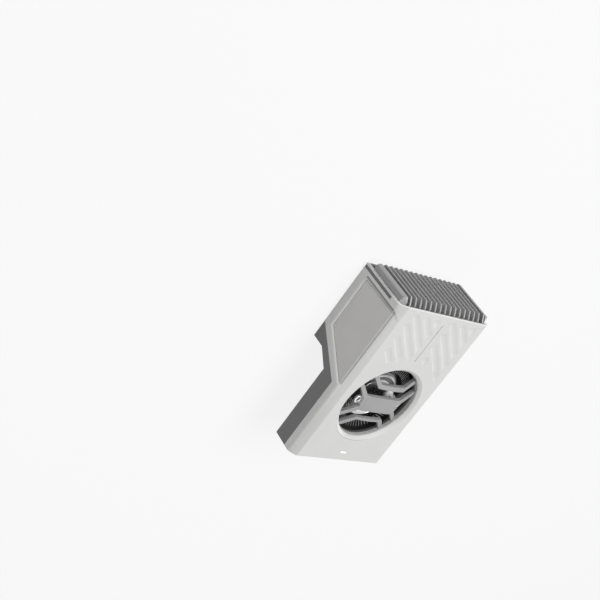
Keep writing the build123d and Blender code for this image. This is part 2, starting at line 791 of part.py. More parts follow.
# Blower housing, open toward the fins
with BuildPart() as blower_housing:
    post(0, fan_y, housing_bottom_z, ring_bottom_z, housing_radius)
    box_between(
        (-housing_radius, fan_y, housing_bottom_z),
        (housing_radius, outlet_y, ring_bottom_z),
    )
    inner_radius = housing_radius - housing_wall
    cave_bottom = housing_bottom_z + housing_floor
    cave_top = ring_bottom_z - housing_top
    post(0, fan_y, cave_bottom, cave_top, inner_radius, Mode.SUBTRACT)
    box_between(
        (-inner_radius, fan_y, cave_bottom),
        (inner_radius, outlet_y + 1, cave_top),
        Mode.SUBTRACT,
    )
    box_between(
        (-housing_radius - 1, step_y + 3, housing_bottom_z - 1),
        (housing_radius + 1, outlet_y + 1, cave_bottom),
        Mode.SUBTRACT,
    )
    post(0, fan_y, cave_top - 1, ring_bottom_z + 1, inlet_radius, Mode.SUBTRACT)
    ear_foot = ear_offset - 1.3
    for sign in sides:
        peg(
            sign * ear_offset, fan_y - ear_offset, ring_bottom_z - ear_height, ring_bottom_z,
            ear_radius,
        )
        with Locations(
            Location(
                (sign * ear_foot, fan_y - ear_foot, ring_bottom_z - ear_height / 2),
                (0, 0, -sign * 45),
            )
        ):
            Box(3.0, 2 * ear_radius, ear_height)
        peg(
            sign * ear_offset, fan_y - ear_offset, ring_bottom_z - 2, ring_bottom_z + 1,
            fine_pilot_radius + 0.15, Mode.SUBTRACT,
        )
blower_housing.part.label = "blower_housing"
export_step(blower_housing.part, "parts/blower_housing.step")

# Cooling stack from the phone upward
with BuildPart() as thermal_pad:
    box_between(
        (-pad_half[0], stack_y - pad_half[1], 0),
        (pad_half[0], stack_y + pad_half[1], pad_thickness),
    )
thermal_pad.part.label = "thermal_pad"
export_step(thermal_pad.part, "parts/thermal_pad.step")

with BuildPart() as cold_plate:
    box_between(
        (-plate_step[0], stack_y - plate_step[1], pad_thickness),
        (plate_step[0], stack_y + plate_step[1], floor_top_z + 0.1),
    )
    fillet(cold_plate.edges().filter_by(Axis.Z), radius=plate_round)
    box_between(
        (-flange[0], stack_y - flange[1], floor_top_z),
        (flange[0], stack_y + flange[1], flange_top_z),
    )
cold_plate.part.label = "cold_plate"
export_step(cold_plate.part, "parts/cold_plate.step")

for plate_name, low_z in (("cold_ceramic", flange_top_z), ("hot_ceramic", sink_z[0] - ceramic)):
    with BuildPart() as plate:
        box_between(
            (-peltier_half, stack_y - peltier_half, low_z),
            (peltier_half, stack_y + peltier_half, low_z + ceramic),
        )
    plate.part.label = plate_name
    export_step(plate.part, "parts/" + plate_name + ".step")

with BuildPart() as thermo_pellets:
    pellet_low = flange_top_z + ceramic
    pellet_high = sink_z[0] - ceramic
    with Locations((0, stack_y, (pellet_low + pellet_high) / 2)):
        with GridLocations(pellet_pitch, pellet_pitch, pellet_rows, pellet_rows):
            Box(pellet_size, pellet_size, pellet_high - pellet_low)
thermo_pellets.part.label = "thermo_pellets"
export_step(thermo_pellets.part, "parts/thermo_pellets.step")

with BuildPart() as foam_frame:
    box_between(
        (-foam_half[0], stack_y - foam_half[1], flange_top_z),
        (foam_half[0], stack_y + foam_half[1], sink_z[0]),
    )
    hole_half = peltier_half + foam_gap
    box_between(
        (-hole_half, stack_y - hole_half, flange_top_z - 1),
        (hole_half, stack_y + hole_half, sink_z[0] + 1),
        Mode.SUBTRACT,
    )
foam_frame.part.label = "foam_frame"
export_step(foam_frame.part, "parts/foam_frame.step")

# Circuit board with its parts, the power socket and the light pipe
with BuildPart() as circuit_board:
    box_between(
        (-board_half_width, board_y[0], board_bottom_z),
        (board_half_width, board_y[1], board_top_z),
    )
    for sign in sides:
        peg(
            sign * board_post[0], board_post[1], board_bottom_z - 1, board_top_z + 1,
            fine_pilot_radius + 0.2, Mode.SUBTRACT,
        )
circuit_board.part.label = "circuit_board"
export_step(circuit_board.part, "parts/circuit_board.step")

with BuildPart() as board_chips:
    for x, y, wide, deep, high in (
        driver_chip,
        choke,
        (0, window_y, 1.8, 1.0, pipe_bottom_z - board_top_z),
    ):
        with Locations((x, y, board_top_z + high / 2)):
            Box(wide, deep, high)
board_chips.part.label = "board_chips"
export_step(board_chips.part, "parts/board_chips.step")

with BuildPart() as light_pipe:
    pipe_half = (window_half[0] - pipe_gap, window_half[1] - pipe_gap)
    lip_half = (window_half[0] + pipe_lip, window_half[1] + pipe_lip)
    box_between(
        (-pipe_half[0], window_y - pipe_half[1], pipe_bottom_z),
        (pipe_half[0], window_y + pipe_half[1], back_z),
    )
    box_between(
        (-lip_half[0], window_y - lip_half[1], inner_top_z - 0.8),
        (lip_half[0], window_y + lip_half[1], inner_top_z),
    )
light_pipe.part.label = "light_pipe"
export_step(light_pipe.part, "parts/light_pipe.step")

socket_front_y = low_end + socket_inset
with BuildPart() as power_socket:
    with BuildSketch(Plane.XZ.offset(-socket_front_y)) as socket_outer:
        with Locations((0, socket_z)):
            SlotOverall(2 * socket_half[0], 2 * socket_half[1])
    extrude(socket_outer.sketch, amount=-socket_length)
    with BuildSketch(Plane.XZ.offset(-socket_front_y)) as socket_inner:
        with Locations((0, socket_z)):
            SlotOverall(
                2 * (socket_half[0] - socket_wall), 2 * (socket_half[1] - socket_wall)
            )
    extrude(socket_inner.sketch, amount=-(socket_length - 1.0), mode=Mode.SUBTRACT)
    box_between(
        (-tongue_half[0], socket_front_y + 0.8, socket_z - tongue_half[1]),
        (tongue_half[0], socket_front_y + socket_length - 0.5, socket_z + tongue_half[1]),
    )
power_socket.part.label = "power_socket"
export_step(power_socket.part, "parts/power_socket.step")

# Fastenings
with BuildPart() as case_screws:
    for sign in sides:
        for boss, face_z in ((low_boss, seat_z), (deep_boss, rim_z)):
            head_z = face_z + recess_depth
            screw(
                sign * boss[0], boss[1], head_z, head_z + case_screw_reach, case_screw_radius,
                screw_head,
            )
case_screws.part.label = "case_screws"
export_step(case_screws.part, "parts/case_screws.step")

with BuildPart() as sink_screws:
    for sign in sides:
        for y in sink_post_y:
            screw(
                sign * sink_post_x, y, rim_z + recess_depth, sink_z[0] + 1.8, case_screw_radius,
                screw_head,
            )
sink_screws.part.label = "sink_screws"
export_step(sink_screws.part, "parts/sink_screws.step")

with BuildPart() as housing_screws:
    for sign in sides:
        screw(
            sign * ear_offset, fan_y - ear_offset, ring_bottom_z, ring_bottom_z - 5.5,
            fine_screw_radius, fine_head,
        )
housing_screws.part.label = "housing_screws"
export_step(housing_screws.part, "parts/housing_screws.step")

with BuildPart() as board_screws:
    for sign in sides:
        screw(
            sign * board_post[0], board_post[1], board_bottom_z, board_bottom_z + 3.8,
            fine_screw_radius, fine_head,
        )
board_screws.part.label = "board_screws"
export_step(board_screws.part, "parts/board_screws.step")
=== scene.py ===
import json

import bmesh
import bpy
import numpy as np
from bpy.props import FloatProperty, FloatVectorProperty, PointerProperty
from mathutils import Matrix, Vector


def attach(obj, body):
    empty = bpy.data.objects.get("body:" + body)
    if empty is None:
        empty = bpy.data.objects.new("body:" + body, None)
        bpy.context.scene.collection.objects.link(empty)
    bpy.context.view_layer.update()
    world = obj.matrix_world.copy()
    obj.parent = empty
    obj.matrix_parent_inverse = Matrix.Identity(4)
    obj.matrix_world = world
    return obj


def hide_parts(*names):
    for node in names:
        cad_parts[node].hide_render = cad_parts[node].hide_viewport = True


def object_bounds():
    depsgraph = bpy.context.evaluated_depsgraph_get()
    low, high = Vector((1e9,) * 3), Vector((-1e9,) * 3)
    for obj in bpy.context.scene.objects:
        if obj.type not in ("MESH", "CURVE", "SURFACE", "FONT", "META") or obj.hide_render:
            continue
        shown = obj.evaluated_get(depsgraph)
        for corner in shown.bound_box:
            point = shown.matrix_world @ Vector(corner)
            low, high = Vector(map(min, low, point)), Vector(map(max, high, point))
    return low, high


bl_info = {
    "name": "Cooling fan looks",
    "version": (1, 0, 0),
    "blender": (4, 5, 0),
    "location": "3D View > Sidebar > Cooler",
    "description": "Finishes and small parts of a controller cooling fan",
    "category": "Object",
}

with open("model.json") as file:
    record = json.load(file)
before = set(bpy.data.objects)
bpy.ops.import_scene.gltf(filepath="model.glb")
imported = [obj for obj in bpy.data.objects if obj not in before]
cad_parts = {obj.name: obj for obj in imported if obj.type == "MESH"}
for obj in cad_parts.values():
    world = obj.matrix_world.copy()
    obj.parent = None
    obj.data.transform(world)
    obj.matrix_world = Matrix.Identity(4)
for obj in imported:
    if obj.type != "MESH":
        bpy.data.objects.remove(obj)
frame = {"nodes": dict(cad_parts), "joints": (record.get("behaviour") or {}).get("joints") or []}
nodes = frame["nodes"]
CAD_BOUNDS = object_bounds()

MM = 0.001
BOTH_WAYS = (-1, 1)

# From the frame, in millimetres: half the width, the fins' end, the back face and the fan's axis
HALF_WIDTH, FIN_END, BACK = (limit / MM for limit in CAD_BOUNDS[1])
FAN_AXIS = tuple(place / MM for place in frame["joints"][0]["pos_m"][:2])

# Places on the case in millimetres, as the CAD model has them
MOUTH_RADIUS = HALF_WIDTH - 7.2
THROAT_RADIUS = MOUTH_RADIUS - 1.45
RING_RADIUS = THROAT_RADIUS - 0.3
PANEL_TOP = BACK - 3.05
PANEL_START = -5.5
PANEL_END = FIN_END - 7.8
LOUVRES_START = 11
SOCKET_MOUTH = (-40.6, 20.0)
CONTACT_PITCH = 0.5
CONTACT_ROW = 0.38
CHIP_PLACE = (-7.25, -34.8, 22.6)
CHIP_HALF = 1.8
CHIP_LEADS = [CHIP_PLACE[0] + step for step in (-1.5, -0.5, 0.5, 1.5)]

# Lugs of the guard, and their threaded inserts from the bore over the flange to the lug's top
LUG_X = 10.95
LUG_TOP = 25.9
INSERT = [
    (0.8, LUG_TOP - 1.0),
    (0.8, LUG_TOP + 0.02),
    (0.9, LUG_TOP + 0.1),
    (1.85, LUG_TOP + 0.1),
    (1.98, LUG_TOP + 0.04),
    (1.98, LUG_TOP),
]

# Screw sizes in millimetres: head radius, head height and shank radius
CASE_SIZE = (1.72, 0.98, 0.88)
SMALL_SIZE = (1.48, 0.88, 0.68)
MOTOR_SIZE = (1.45, 0.5, 0.73)

# Screws on the right: X, Y, height of the seat, way of the tip along Z, size and length
MOTOR_SCREW_X = 10.9
SCREW_SPOTS = {
    "case_screws": [(21.6, -36.4, 16.3, 1, *CASE_SIZE, 7.2), (22.4, 3.2, 2.1, 1, *CASE_SIZE, 7.2)],
    "sink_screws": [(22.4, 10.0, 2.1, 1, *CASE_SIZE, 6.8), (22.4, 33.0, 2.1, 1, *CASE_SIZE, 6.8)],
    "housing_screws": [(16.2, -26.0, 23.8, -1, *SMALL_SIZE, 5.5)],
    "board_screws": [(14.0, -35.4, 21.6, 1, *SMALL_SIZE, 3.8)],
    "motor_screws": [(MOTOR_SCREW_X, FAN_AXIS[1], 21.45, 1, *MOTOR_SIZE, 3.5)],
}

# Stage: reach of the floor and size of the key light in metres, and the photograph's camera with
# its place in metres, its turns about X, Y and Z in degrees and its focal length on a 36 mm sensor
FLOOR_REACH = 3.0
FLOOR_GLOW = 0.85
KEY_SIZE = 0.7
KEY_PLACE = (0.1, 0.45, 0.88)
KEY_TARGET = (0, 0, 0.01)
CAMERA_PLACE = (-0.3587, 0.1945, 0.2879)
CAMERA_TURN = (-46.009, -26.476, 36.747)
FOCAL_LENGTH = 72.68


def colour_property(name, description, default):
    """A linear colour that a user can pick in the sidebar."""
    return FloatVectorProperty(
        name=name, description=description, default=default, size=3, min=0, max=1, subtype="COLOR"
    )


def length_property(name, description, default):
    """A length in metres that a user can change in the sidebar."""
    return FloatProperty(
        name=name, description=description, default=default, min=0, unit="LENGTH", precision=5
    )


# Materials


def shaded(colour, factor):
    """A colour made lighter or darker by a factor."""
    return tuple(min(1.0, c * factor) for c in colour)


class Graph:
    """A material with its node tree, and short calls for the nodes that the finishes share. Their
    sizes, depths and places are in millimetres."""

    def __init__(self, name):
        self.material = bpy.data.materials.new(name)
        self.material.use_nodes = True
        self.tree = self.material.node_tree
        self.shader = self.tree.nodes["Principled BSDF"]
        self.coordinates = self.add("ShaderNodeTexCoord").outputs
        self.place = self.coordinates["Object"]

    def add(self, kind, **settings):
        """A new node with its plain settings."""
        node = self.tree.nodes.new(kind)
        for key, value in settings.items():
            setattr(node, key, value)
        return node

    def link(self, source, target):
        """Joins two sockets."""
        self.tree.links.new(source, target)

    def set(self, **values):
        """Constant values of the shader's own sockets, with underscores for spaces."""
        for key, value in values.items():
            self.shader.inputs[key.replace("_", " ")].default_value = value

    def parts(self, vector):
        """The X, Y and Z of a vector."""
        node = self.add("ShaderNodeSeparateXYZ")
        self.link(vector, node.inputs[0])
        return node.outputs

    def mapped(self, scale=(1, 1, 1), offset=(0, 0, 0), turn=(0, 0, 0)):
        """The place on the piece after an offset and a turn, in units of the scale in metres."""
        node = self.add("ShaderNodeMapping", vector_type="TEXTURE")
        node.inputs["Location"].default_value = [step * MM for step in offset]
        node.inputs["Rotation"].default_value = turn
        node.inputs["Scale"].default_value = scale
        self.link(self.place, node.inputs["Vector"])
        return node.outputs["Vector"]

    def millimetres(self):
        """X, Y and Z of the place on the piece in millimetres."""
        return self.parts(self.mapped(scale=(MM, MM, MM)))

    def slope(self, axis):
        """The part of the surface's normal along one axis, from -1 to 1."""
        return self.parts(self.coordinates["Normal"])[axis]

    def round_the_fan(self):
        """The distance from the fan's axis, and the turn about it from -180 to 180 degrees as 0 to
        1, so that 0.25 is the low end and 0.5 the right."""
        place = self.mapped(scale=(MM, MM, MM), offset=(*FAN_AXIS, 0))
        parts = self.parts(place)
        level = self.add("ShaderNodeCombineXYZ")
        for axis in ("X", "Y"):
            self.link(parts[axis], level.inputs[axis])
        length = self.add("ShaderNodeVectorMath", operation="LENGTH")
        self.link(level.outputs[0], length.inputs[0])
        turn = self.add("ShaderNodeTexGradient", gradient_type="RADIAL")
        self.link(place, turn.inputs["Vector"])
        return length.outputs["Value"], turn.outputs["Fac"]

    def noise(self, size, detail=2.0, place=None):
        """Soft noise with lumps of about one size."""
        node = self.add("ShaderNodeTexNoise")
        node.inputs["Scale"].default_value = 1.0 / (size * MM)
        node.inputs["Detail"].default_value = detail
        self.link(place or self.place, node.inputs["Vector"])
        return node.outputs["Fac"]

    def waves(self, scale, place=None, **settings):
        """A wave pattern, which repeats every 314 / scale millimetres."""
        node = self.add("ShaderNodeTexWave", **settings)
        node.inputs["Scale"].default_value = scale
        self.link(place or self.place, node.inputs["Vector"])
        return node

    def math(self, operation, *values):
        """One sum or comparison of values, each a socket or a plain number."""
        node = self.add("ShaderNodeMath", operation=operation)
        for socket, value in zip(node.inputs, values):
            if isinstance(value, (int, float)):
                socket.default_value = value
            else:
                self.link(value, socket)
        return node.outputs[0]

    def ranged(self, value, low, high, source=(0.3, 0.7)):
        """A value moved from its source range into low to high."""
        node = self.add("ShaderNodeMapRange")
        node.inputs["From Min"].default_value = source[0]
        node.inputs["From Max"].default_value = source[1]
        node.inputs["To Min"].default_value = low
        node.inputs["To Max"].default_value = high
        self.link(value, node.inputs["Value"])
        return node.outputs["Result"]

    def past(self, value, limit, edge):
        """0 below a limit and 1 above it, with a soft edge. A negative edge turns this round."""
        return self.ranged(value, 0, 1, source=(limit - edge, limit + edge))

    def band(self, value, low, high, edge):
        """1 between two limits and 0 beyond them, with soft edges."""
        rise = self.past(value, low, edge)
        fall = self.ranged(value, 1, 0, source=(high - edge, high + edge))
        return self.math("MULTIPLY", rise, fall)

    def overlap(self, *masks):
        """The area that several masks share."""
        shared = masks[0]
        for mask in masks[1:]:
            shared = self.math("MULTIPLY", shared, mask)
        return shared

    def ramp(self, value, *stops):
        """A smooth grey curve through stops, each a place and a brightness."""
        node = self.add("ShaderNodeValToRGB")
        curve = node.color_ramp
        curve.interpolation = "EASE"
        while len(curve.elements) < len(stops):
            curve.elements.new(0.5)
        for element, (place, tone) in zip(curve.elements, stops):
            element.position = place
            element.color = (tone, tone, tone, 1)
        self.link(value, node.inputs["Fac"])
        return node.outputs["Color"]

    def mixed(self, factor, first, second):
        """Two colours mixed by a factor between 0 and 1."""
        node = self.add("ShaderNodeMix", data_type="RGBA")
        self.link(factor, node.inputs["Factor"])
        for socket, colour in ((node.inputs[6], first), (node.inputs[7], second)):
            if isinstance(colour, bpy.types.NodeSocket):
                self.link(colour, socket)
            else:
                socket.default_value = (*colour, 1.0)
        return node.outputs[2]

    def clouded(self, cloud, colour, low, high):
        """A colour that wanders with a noise between two factors of its brightness."""
        return self.mixed(self.ranged(cloud, 0, 1), shaded(colour, low), shaded(colour, high))

    def paint_light_by_facing(self, base, colour, axis, factor, reach=1000, beyond=1.0, flank=1.0):
        """Painted light and shade: a base colour changed by a factor on the faces across one axis, as
        far as a reach from the middle. Past the reach the faces across it take the flank's factor, and
        all others nearly the one named beyond."""
        across = self.past(self.math("ABSOLUTE", self.slope(axis)), 0.8, 0.1)
        far = self.past(self.math("ABSOLUTE", self.millimetres()[axis]), reach, 0.05)
        base = self.mixed(self.math("MULTIPLY", far, 0.9), base, shaded(colour, beyond))
        base = self.mixed(self.overlap(across, far), base, shaded(colour, flank))
        near = self.math("SUBTRACT", 1.0, far)
        return self.mixed(self.overlap(across, near), base, shaded(colour, factor))

    def rounded(self, radius):
        """Normals that turn softly over the edges of a piece within a radius."""
        node = self.add("ShaderNodeBevel", samples=8)
        node.inputs["Radius"].default_value = radius * MM
        return node.outputs["Normal"]

    def raised(self, *heights, normal=None):
        """Bumps laid over one another, each a height between 0 and 1 and its depth."""
        for height, depth in heights:
            node = self.add("ShaderNodeBump")
            node.inputs["Strength"].default_value = 1.0
            node.inputs["Distance"].default_value = depth * MM
            self.link(height, node.inputs["Height"])
            if normal is not None:
                self.link(normal, node.inputs["Normal"])
            normal = node.outputs["Normal"]
        self.link(normal, self.shader.inputs["Normal"])

    def coloured(self, base):
        """Links the base colour."""
        self.link(base, self.shader.inputs["Base Color"])

    def rough(self, sheen, low, high):
        """Links a roughness that follows a noise between two values."""
        self.link(self.ranged(sheen, low, high), self.shader.inputs["Roughness"])


def flecked(g, mottle, colour, grain, variation):
    """The base colour of moulded plastic: a faint flow mottle with fine darker flecks."""
    base = g.clouded(mottle, colour, 1 - variation, 1 + variation)
    return g.mixed(g.ranged(g.noise(grain * 2.2), 0, 0.12), base, shaded(colour, 0.8))


def eroded(g, mottle, roughness, grain, depth, normal=None):
    """The skin of a spark-eroded mould: an uneven sheen, a fine grain and wider waves."""
    g.rough(mottle, roughness - 0.04, roughness + 0.05)
    g.raised((g.noise(grain), depth), (g.noise(grain * 9, 1.0), depth * 0.8), normal=normal)


def moulded_plastic(
    name, colour, roughness=0.5, grain=0.22, depth=0.012, variation=0.03, painted_facing_light=None, end=None
):
    """Moulded plastic with a fine grain and a faint mottle. It may take painted light and shade on the
    faces across one axis, and past an end along Y a painted shadow of a groove."""
    g = Graph(name)
    mottle = g.noise(11, 3.0)
    base = flecked(g, mottle, colour, grain, variation)
    if painted_facing_light:
        # Painted light and shade on the faces across one axis
        base = g.paint_light_by_facing(base, colour, *painted_facing_light)
    if end:
        # Painted shadow of a groove past the end along Y
        base = g.mixed(g.past(g.millimetres()["Y"], end, 0.03), base, shaded(colour, 0.2))
    g.coloured(base)
    eroded(g, mottle, roughness, grain, depth)
    return g.material


def painted_highlight_masks(g):
    """Masks of the shell's painted highlights: the pocket of each side panel, the louvres, the centre
    groove, the edge over each panel, the lip of the mouth and the fin end's corner."""
    x, y, z = g.millimetres()
    side = g.math("ABSOLUTE", x)
    radius, turn = g.round_the_fan()
    pocket = g.overlap(
        g.band(side, HALF_WIDTH - 0.85, HALF_WIDTH - 0.2, 0.03),
        g.past(z, PANEL_TOP, -0.05),
        g.band(y, PANEL_START, PANEL_END, 0.1),
    )
    louvres = g.overlap(
        g.past(side, HALF_WIDTH - 3.9, -0.1),
        g.past(radius, MOUTH_RADIUS + 0.7, 0.1),
        g.past(y, LOUVRES_START, 0.1),
        g.ranged(z, 0.5, 0, source=(BACK - 0.75, BACK - 0.1)),
    )
    centre_groove = g.overlap(
        g.past(side, 0.3, -0.02),
        g.past(y, LOUVRES_START + 1, 0.1),
        g.past(z, BACK - 0.05, -0.02),
    )
    panel_edge = g.overlap(
        g.band(side, HALF_WIDTH - 1.4, HALF_WIDTH - 0.5, 0.03),
        g.band(z, BACK - 3.4, BACK - 2.7, 0.05),
        g.past(y, PANEL_END, -0.1),
    )
    lip = g.overlap(
        g.band(radius, THROAT_RADIUS - 0.05, MOUTH_RADIUS - 0.05, 0.04),
        g.ramp(
            turn, (0.02, 0.6), (0.07, 1), (0.15, 1), (0.22, 0.0), (0.4, 0.1), (0.5, 0.15), (0.66, 0.35)
        ),
    )
    slant = g.ranged(side, 1.05, 0, source=(HALF_WIDTH - 3.4, HALF_WIDTH))
    corner = g.overlap(
        g.past(g.math("SUBTRACT", y, slant), FIN_END - 4.1, 0.08), g.past(z, BACK - 7.5, 0.1)
    )
    return pocket, louvres, centre_groove, panel_edge, lip, corner


def painted_shade_masks(g):
    """Masks and shares of the shell's painted shade: the groove at the fin end of each side panel, the
    crease above it over the bevel, and the parting line round the lower left of the mouth."""
    x, y, z = g.millimetres()
    side = g.math("ABSOLUTE", x)
    radius, turn = g.round_the_fan()
    groove = g.overlap(
        g.past(side, HALF_WIDTH - 1.2, 0.03),
        g.past(z, PANEL_TOP, -0.05),
        g.past(z, 5, 0.1),
        g.band(y, PANEL_END + 0.1, PANEL_END + 0.9, 0.1),
    )
    along = g.math("ADD", y, g.math("SUBTRACT", HALF_WIDTH, side))
    crease = g.overlap(
        g.band(along, PANEL_END + 0.3, PANEL_END + 1.0, 0.3),
        g.past(z, BACK - 2.9, 0.1),
        g.ranged(side, 0, 1, source=(HALF_WIDTH - 3.7, HALF_WIDTH - 0.1)),
    )
    parting_line_shade = g.overlap(
        g.band(radius, MOUTH_RADIUS - 0.1, MOUTH_RADIUS + 0.06, 0.03), g.band(turn, 0.03, 0.3, 0.04)
    )
    return (groove, 0.8), (crease, 0.65), (parting_line_shade, 0.6)


def shell_plastic(name, colour, roughness=0.5, grain=0.22, depth=0.012):
    """The shell's moulded plastic with softly rounded edges, with painted highlights on its walls, lip
    and corner, and painted shade in its seams."""
    painted_light_factor, painted_shade_factor = 1.24, 0.2
    g = Graph(name)
    mottle = g.noise(11, 3.0)
    base = flecked(g, mottle, colour, grain, 0.02)
    # Painted highlights
    for mask in painted_highlight_masks(g):
        base = g.mixed(mask, base, shaded(colour, painted_light_factor))
    # Painted shade in the seams
    for mask, share in painted_shade_masks(g):
        base = g.mixed(g.math("MULTIPLY", mask, share), base, shaded(colour, painted_shade_factor))
    g.coloured(base)
    eroded(g, mottle, roughness, grain, depth, normal=g.rounded(0.4))
    return g.material


def blasted_metal(
    name, colour, roughness=0.4, grain=0.2, depth=0.01, streak=None, metallic=1.0, painted_facing_light=None
):
    """Bead-blasted metal: small dimples, cloudy oxide and, where asked, drawn lines along one axis
    and painted light and shade on some faces. A metallic share under 1 gives the chalky look of
    anodising."""
    g = Graph(name)
    g.set(Metallic=metallic)
    base = g.clouded(g.noise(8, 4.0), colour, 0.94, 1.05)
    if painted_facing_light:
        # Painted light and shade on the faces across one axis
        base = g.paint_light_by_facing(base, colour, *painted_facing_light)
    g.coloured(base)
    g.rough(g.noise(grain * 3, 3.0), roughness - 0.05, roughness + 0.07)
    heights = [(g.noise(grain), depth)]
    if streak:
        heights.append((g.noise(0.35, place=g.mapped(scale=streak)), depth * 0.7))
    g.raised(*heights)
    return g.material


def lug_posts(g, x, y, z):
    """The mask of the posts under the guard's lugs, and their colour: a painted reflection, dark, that
    turns bright white over the right post along a slanted line through its middle."""
    reach = 2.2
    post = g.overlap(
        g.band(g.math("ABSOLUTE", x), MOTOR_SCREW_X - reach, MOTOR_SCREW_X + reach, 0.05),
        g.band(y, FAN_AXIS[1] - reach, FAN_AXIS[1] + reach, 0.05),
        g.past(z, LUG_TOP - 0.8, -0.1),
    )
    way = (0.5, 0.87)
    across = g.math("ADD", g.math("MULTIPLY", x, way[0]), g.math("MULTIPLY", y, way[1]))
    middle = way[0] * LUG_X + way[1] * FAN_AXIS[1]
    lit = g.ranged(across, 0.03, 1.0, source=(middle - 0.8, middle + 0.8))
    return post, g.mixed(lit, (0.02, 0.02, 0.02), (1.0, 1.0, 1.0))


def guard_metal(name, colour, roughness=0.45):
    """The guard's anodised skin over dimples and rounded edges, with painted light on the upright
    flanks of its bars that fades lower down, painted shade inside its ring and a painted reflection
    on the posts under its lugs."""
    g = Graph(name)
    x, y, z = g.millimetres()
    radius, _ = g.round_the_fan()
    base = g.clouded(g.noise(8, 4.0), colour, 0.92, 1.02)
    upright = g.past(g.slope("Z"), 0.8, -0.1)
    high = g.ranged(z, 0, 1, source=(BACK - 4.4, BACK - 1.8))
    # Painted light on the upright flanks, fading lower down
    base = g.mixed(g.overlap(upright, high), base, shaded(colour, 1.5))
    ring = g.past(radius, RING_RADIUS - 0.1, 0.05)
    # Painted shade on the ring's inner wall
    base = g.mixed(g.overlap(upright, ring), base, shaded(colour, 0.5))
    # Painted reflection on the posts under the lugs
    post, painted_post_glint = lug_posts(g, x, y, z)
    g.coloured(g.mixed(post, base, painted_post_glint))
    g.link(g.ranged(post, 0.3, 0.0, source=(0, 1)), g.shader.inputs["Metallic"])
    rough = g.ranged(g.noise(0.6, 3.0), roughness - 0.05, roughness + 0.07)
    g.link(g.math("SUBTRACT", rough, g.math("MULTIPLY", post, 0.2)), g.shader.inputs["Roughness"])
    g.raised((g.noise(0.2), 0.01), normal=g.rounded(0.3))
    return g.material


def turned_metal(name, colour, roughness=0.25):
    """Metal faced on a lathe: fine rings about the fan's axis, painted reflections as the bright and
    dark sectors that a ringed face shows in a pale room, darker towards the middle and with painted
    shade in the groove on one side, a painted white highlight patch at its right and a shallow
    groove inside its rim."""
    g = Graph(name)
    place = g.mapped(offset=(*FAN_AXIS, 0))
    rings = g.waves(312.5, place, wave_type="RINGS", rings_direction="Z")
    rings.inputs["Distortion"].default_value = 0.4
    rings.inputs["Detail"].default_value = 1.0
    radius, turn = g.round_the_fan()
    # Painted reflection: bright and dark sectors by the turn about the axis
    painted_reflection_sectors = g.ramp(
        turn, (0.0, 0.2), (0.1, 0.25), (0.22, 0.95), (0.34, 0.9), (0.43, 0.35), (0.52, 1.0),
        (0.6, 0.9), (0.7, 0.85), (0.77, 0.8), (0.85, 0.5), (1.0, 0.2),
    )
    inner = g.ranged(radius, 0.2, 1.0, source=(4.5, 8.0))
    groove = g.band(radius, 8.4, 9.9, 0.15)
    # Painted shade in the groove on one side
    shade = g.math("MULTIPLY", groove, g.ranged(turn, 0, 0.85, source=(0.57, 0.64)))
    light = g.overlap(painted_reflection_sectors, inner, g.math("SUBTRACT", 1.0, shade))
    tone = g.noise(3, 3.0)
    base = g.mixed(light, shaded(colour, 0.06), g.clouded(tone, colour, 0.94, 1.05))
    # Painted white highlight patch at the right
    painted_white_patch = g.overlap(g.band(turn, 0.49, 0.575, 0.01), g.ranged(radius, 0, 1, source=(5, 8)))
    g.coloured(g.mixed(painted_white_patch, base, (1.0, 1.0, 1.0)))
    g.link(g.math("SUBTRACT", 1.0, painted_white_patch), g.shader.inputs["Metallic"])
    g.rough(tone, roughness - 0.05, roughness + 0.08)
    g.raised((rings.outputs["Fac"], 0.006), (g.math("SUBTRACT", 1.0, groove), 0.2))
    return g.material


def wound_wire(name, colour):
    """Enamelled wire: close turns as ridges, with dark lines between them."""
    g = Graph(name)
    g.set(Metallic=0.85, Roughness=0.32, Coat_Weight=0.5, Coat_Roughness=0.15)
    ridges = g.waves(900, wave_type="BANDS", bands_direction="Z", wave_profile="SIN")
    ridges.inputs["Distortion"].default_value = 1.0
    g.coloured(g.mixed(ridges.outputs["Fac"], shaded(colour, 0.35), colour))
    g.raised((ridges.outputs["Fac"], 0.06))
    return g.material


def stacked_sheets(name, colour):
    """Laminated core: sheets with dark joints between them."""
    g = Graph(name)
    g.set(Metallic=1.0, Roughness=0.45)
    joints = g.waves(500 / 3, wave_type="BANDS", bands_direction="Z", wave_profile="SAW")
    g.coloured(g.mixed(joints.outputs["Fac"], shaded(colour, 0.4), colour))
    g.raised((joints.outputs["Fac"], 0.03), (g.noise(0.4), 0.01))
    return g.material


def pitted(name, colour, roughness, size, depth, metallic=0.0):
    """Sintered or foamed stuff: round pores of one size in a slightly uneven body."""
    g = Graph(name)
    g.set(Metallic=metallic)
    cells = g.add("ShaderNodeTexVoronoi")
    cells.inputs["Scale"].default_value = 1.0 / (size * MM)
    g.link(g.place, cells.inputs["Vector"])
    pores = g.ranged(cells.outputs["Distance"], 0, 1, source=(0.1, 0.45))
    body = g.clouded(g.noise(size * 6, 3.0), colour, 0.85, 1.12)
    g.coloured(g.mixed(pores, shaded(colour, 0.55), body))
    g.rough(pores, roughness + 0.1, roughness - 0.05)
    g.raised((pores, depth))
    return g.material


def smoked_strip(name, colour):
    """Smoked light guide: dark body with a clear glossy skin and faint depth mottle."""
    g = Graph(name)
    g.set(Coat_Weight=0.35, Coat_Roughness=0.12, Specular_IOR_Level=0.4)
    haze = g.noise(2, 3.0)
    g.coloured(g.clouded(haze, colour, 0.9, 1.15))
    g.rough(haze, 0.34, 0.44)
    g.raised((g.noise(0.3), 0.006))
    return g.material


